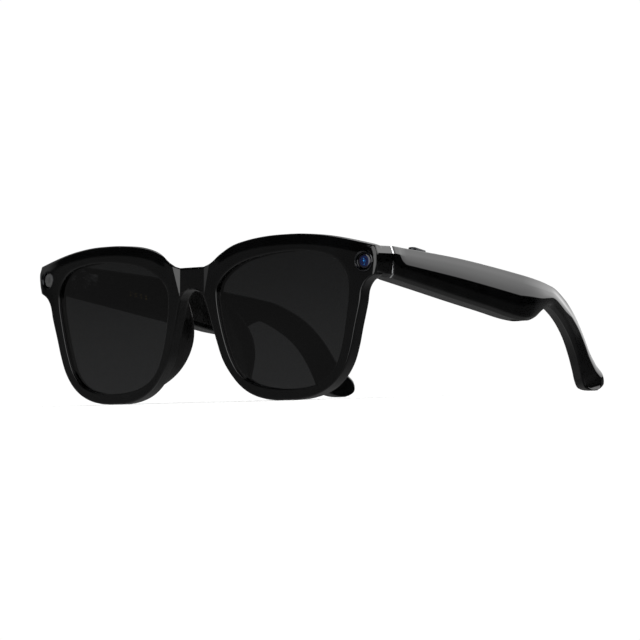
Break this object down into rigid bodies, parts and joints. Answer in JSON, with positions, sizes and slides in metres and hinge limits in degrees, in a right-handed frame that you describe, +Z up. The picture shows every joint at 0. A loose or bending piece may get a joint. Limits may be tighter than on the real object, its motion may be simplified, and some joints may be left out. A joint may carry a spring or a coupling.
{
  "type": "smart glasses",
  "caption": "Full-rim smart glasses with tinted lenses, front camera and indicator, hollow folding temples with batteries and speakers, charging contacts and a capture button.",
  "frame": {"origin": "on the surface the open glasses stand on, under the middle of their box", "axes": "+X to the wearer's left, +Y back along the temples, +Z up"},
  "size_m": [0.1492, 0.1535, 0.0535],
  "materials": {
    "gloss_frame": "polished black",
    "satin_cover": "fine satin black",
    "tinted_lens": "polished dark grey tint",
    "camera_lens": "coated, blue and violet",
    "bright_trim": "polished",
    "dark_trim": "polished dark",
    "hinge_steel": "brushed",
    "contact_gold": "plated",
    "light_window": "smoked translucent",
    "circuit_board": "solder mask",
    "cell_foil": "satin foil",
    "flex_copper": "polyimide film",
    "pad_rubber": "soft satin black"
  },
  "bodies": {
    "front": {"brow_cover": "satin_cover", "brow_flex": "flex_copper", "camera_barrel": "satin_cover", "camera_bezel": "bright_trim", "camera_board": "circuit_board", "camera_glass": "camera_lens", "endpiece_cover_left": "satin_cover", "endpiece_cover_right": "satin_cover", "endpiece_trim_left": "bright_trim", "endpiece_trim_right": "bright_trim", "front_frame": "gloss_frame", "hinge_frame_leaf_left": "hinge_steel", "hinge_frame_leaf_right": "hinge_steel", "hinge_frame_screw_left": "hinge_steel", "hinge_frame_screw_right": "hinge_steel", "hinge_pin_left": "hinge_steel", "hinge_pin_right": "hinge_steel", "indicator_bezel": "dark_trim", "indicator_board": "circuit_board", "indicator_window": "light_window", "lens_left": "tinted_lens", "lens_right": "tinted_lens", "nose_pad_left": "pad_rubber", "nose_pad_right": "pad_rubber"},
    "left_temple": {"battery_left": "cell_foil", "button_switch": "dark_trim", "hinge_temple_leaf_left": "hinge_steel", "hinge_temple_screw_left": "hinge_steel", "main_board": "circuit_board", "speaker_grille_left": "dark_trim", "speaker_left": "satin_cover", "temple_core_left": "hinge_steel", "temple_cover_left": "satin_cover", "temple_shell_left": "gloss_frame"},
    "right_temple": {"battery_right": "cell_foil", "charge_board": "circuit_board", "charge_contact_1": "contact_gold", "charge_contact_2": "contact_gold", "charge_contact_3": "contact_gold", "charge_contact_4": "contact_gold", "charge_magnet_front": "hinge_steel", "charge_magnet_rear": "hinge_steel", "hinge_temple_leaf_right": "hinge_steel", "hinge_temple_screw_right": "hinge_steel", "speaker_grille_right": "dark_trim", "speaker_right": "satin_cover", "temple_core_right": "hinge_steel", "temple_cover_right": "satin_cover", "temple_shell_right": "gloss_frame"},
    "button": {"capture_button": "dark_trim"}
  },
  "joints": [
    {"name": "left_temple_fold", "type": "hinge", "parent": "front", "child": "left_temple", "pos_m": [0.0639, -0.0609, 0.0431], "axis": [0, 0, 1], "range_deg": [0, 89]},
    {"name": "right_temple_fold", "type": "hinge", "parent": "front", "child": "right_temple", "pos_m": [-0.0639, -0.0609, 0.0431], "axis": [0, 0, 1], "range_deg": [-78, 0]},
    {"name": "capture_button_press", "type": "slide", "parent": "left_temple", "child": "button", "axis": [0, -0.0896, -0.996], "range_m": [0, 0.0005], "stiffness_N_per_m": 800}
  ]
}
